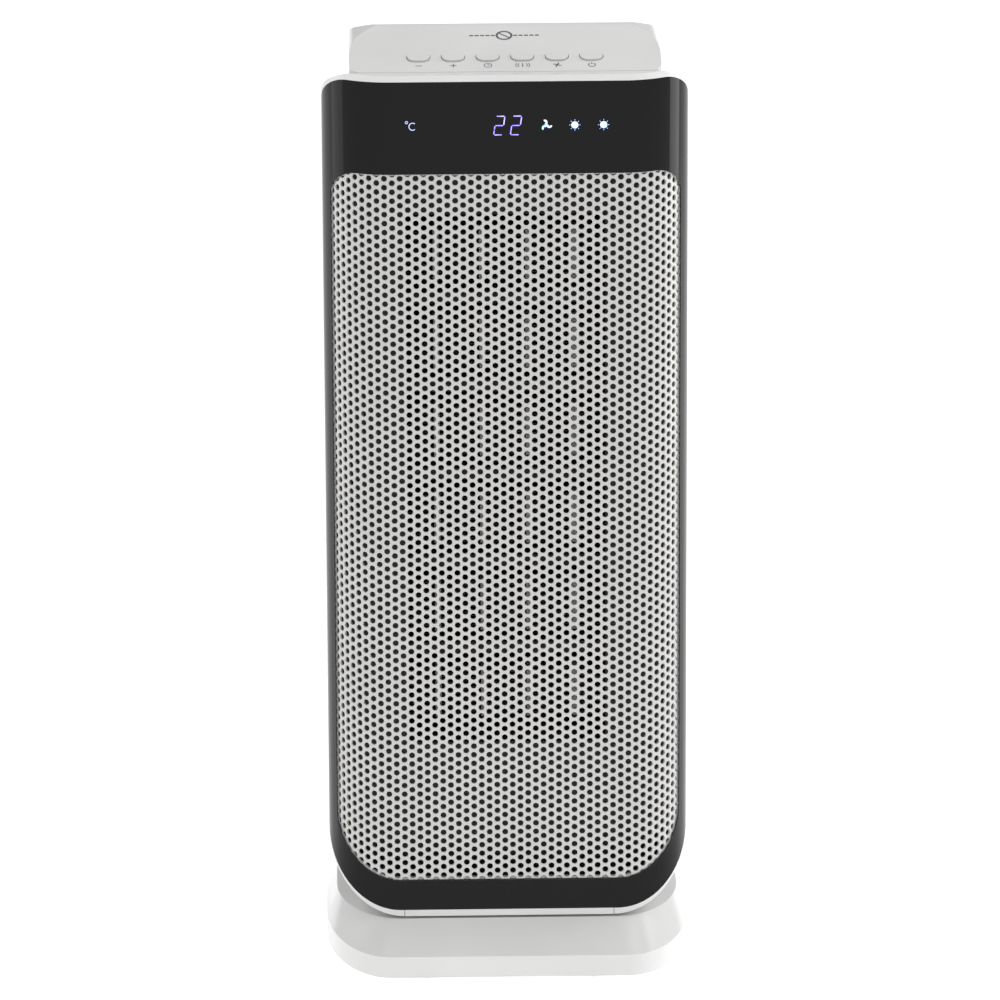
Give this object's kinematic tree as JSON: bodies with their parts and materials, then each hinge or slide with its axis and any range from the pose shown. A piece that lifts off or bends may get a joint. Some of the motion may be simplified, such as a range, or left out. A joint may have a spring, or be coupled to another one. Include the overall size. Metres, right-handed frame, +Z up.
{
  "type": "ceramic tower heater",
  "caption": "Free-standing oscillating tower fan heater: punched front grille over ceramic elements, black fascia with display, sloping key panel on top, oval-cornered base.",
  "frame": {"origin": "on the floor under the axis the tower swings about, at the middle of the base", "axes": "+Z up, -Y out of the grille, +X to the right of a person facing the heater"},
  "size_m": [0.187, 0.185, 0.4805],
  "materials": {
    "white_shell": "moulded white, smooth gloss",
    "white_key": "moulded white, satin gloss",
    "base_tray": "moulded light grey, fine texture",
    "black_gloss": "moulded black, piano gloss",
    "grille_paint": "silver grey paint over punched steel",
    "rubber": "moulded, matt",
    "steel": "plated",
    "black_plastic": "moulded black, satin",
    "bearing_plastic": "natural acetal, satin",
    "motor_steel": "zinc plated sheet",
    "heater_frame_plastic": "glass-filled, matt black",
    "heating_ceramic": "grey ceramic stones in clear-coated strips",
    "fin_aluminium": "black anodised corrugated strip",
    "bronze": "sintered bronze",
    "circuit_board": "green solder mask",
    "display_light": "lit light-emitting segments",
    "filter_mesh": "fine woven nylon net",
    "thermal_metal": "satin"
  },
  "bodies": {
    "base": {"base_cover": "white_shell", "base_plate": "base_tray", "rubber_feet": "rubber", "base_screws": "steel", "cord_gland": "rubber", "tip_switch": "black_plastic", "swing_motor": "motor_steel", "bearing_ring": "bearing_plastic"},
    "drive_pinion": {"swing_pinion": "bearing_plastic", "swing_shaft": "steel"},
    "tip_plunger": {"tip_plunger": "bearing_plastic"},
    "fan": {"fan_wheel": "black_plastic", "fan_shaft": "steel", "fan_stub": "steel", "fan_hubs": "bearing_plastic"},
    "rocker": {"mains_rocker": "black_plastic"},
    "intake": {"intake_cover": "white_shell", "dust_filter": "filter_mesh"},
    "key_down": {"key_down": "white_key"},
    "key_up": {"key_up": "white_key"},
    "key_timer": {"key_timer": "white_key"},
    "key_swing": {"key_swing": "white_key"},
    "key_mode": {"key_mode": "white_key"},
    "key_power": {"key_power": "white_key"},
    "tower": {"front_frame": "white_shell", "rim_strip": "white_shell", "rear_shell": "white_shell", "top_cover": "white_shell", "front_fascia": "black_gloss", "front_grille": "grille_paint", "body_screws": "steel", "rocker_frame": "black_plastic", "scroll_wall": "black_plastic", "cutoff_wall": "black_plastic", "relays": "black_plastic", "tact_switches": "black_plastic", "outlet_baffle": "black_plastic", "turntable": "bearing_plastic", "swing_gear": "bearing_plastic", "swivel_washer": "bearing_plastic", "fan_motor": "motor_steel", "blower_base_plate": "motor_steel", "blower_top_plate": "motor_steel", "heater_frame": "heater_frame_plastic", "heater_spacers": "heater_frame_plastic", "ceramic_bars": "heating_ceramic", "fin_packs": "fin_aluminium", "upper_bearing": "bronze", "key_board": "circuit_board", "display_board": "circuit_board", "power_board": "circuit_board", "digit_module": "display_light", "indicator_leds": "display_light", "thermal_cutout": "thermal_metal", "thermal_fuse": "thermal_metal", "board_capacitor": "thermal_metal"}
  },
  "joints": [
    {"name": "swivel", "type": "hinge", "parent": "base", "child": "tower", "pos_m": [0, 0, 0.0277], "axis": [0, 0, 1], "range_deg": [-35, 35]},
    {"name": "pinion_spin", "type": "hinge", "parent": "base", "child": "drive_pinion", "pos_m": [0, 0.044, 0.0197], "axis": [0, 0, 1], "range_deg": [-160, 160]},
    {"name": "tip_release", "type": "slide", "parent": "base", "child": "tip_plunger", "axis": [0, 0, -1], "range_m": [0, 0.004], "stiffness_N_per_m": 30, "springref_m": 0.008},
    {"name": "fan_spin", "type": "hinge", "parent": "tower", "child": "fan", "pos_m": [0, 0.022, 0.251], "axis": [0, 0, 1], "continuous": true},
    {"name": "mains_switch", "type": "hinge", "parent": "tower", "child": "rocker", "pos_m": [0, 0.0655, 0.063], "axis": [-1, 0, 0], "range_deg": [0, 14]},
    {"name": "intake_pull", "type": "slide", "parent": "tower", "child": "intake", "axis": [0, 1, 0], "range_m": [0, 0.03]},
    {"name": "key_down_press", "type": "slide", "parent": "tower", "child": "key_down", "axis": [0, 0.3551, -0.9348], "range_m": [0, 0.0012], "stiffness_N_per_m": 300},
    {"name": "key_up_press", "type": "slide", "parent": "tower", "child": "key_up", "axis": [0, 0.3551, -0.9348], "range_m": [0, 0.0012], "stiffness_N_per_m": 300},
    {"name": "key_timer_press", "type": "slide", "parent": "tower", "child": "key_timer", "axis": [0, 0.3551, -0.9348], "range_m": [0, 0.0012], "stiffness_N_per_m": 300},
    {"name": "key_swing_press", "type": "slide", "parent": "tower", "child": "key_swing", "axis": [0, 0.3551, -0.9348], "range_m": [0, 0.0012], "stiffness_N_per_m": 300},
    {"name": "key_mode_press", "type": "slide", "parent": "tower", "child": "key_mode", "axis": [0, 0.3551, -0.9348], "range_m": [0, 0.0012], "stiffness_N_per_m": 300},
    {"name": "key_power_press", "type": "slide", "parent": "tower", "child": "key_power", "axis": [0, 0.3551, -0.9348], "range_m": [0, 0.0012], "stiffness_N_per_m": 300}
  ],
  "couplings": [
    {"joint": "pinion_spin", "follows": "swivel", "ratio": -4.5}
  ]
}
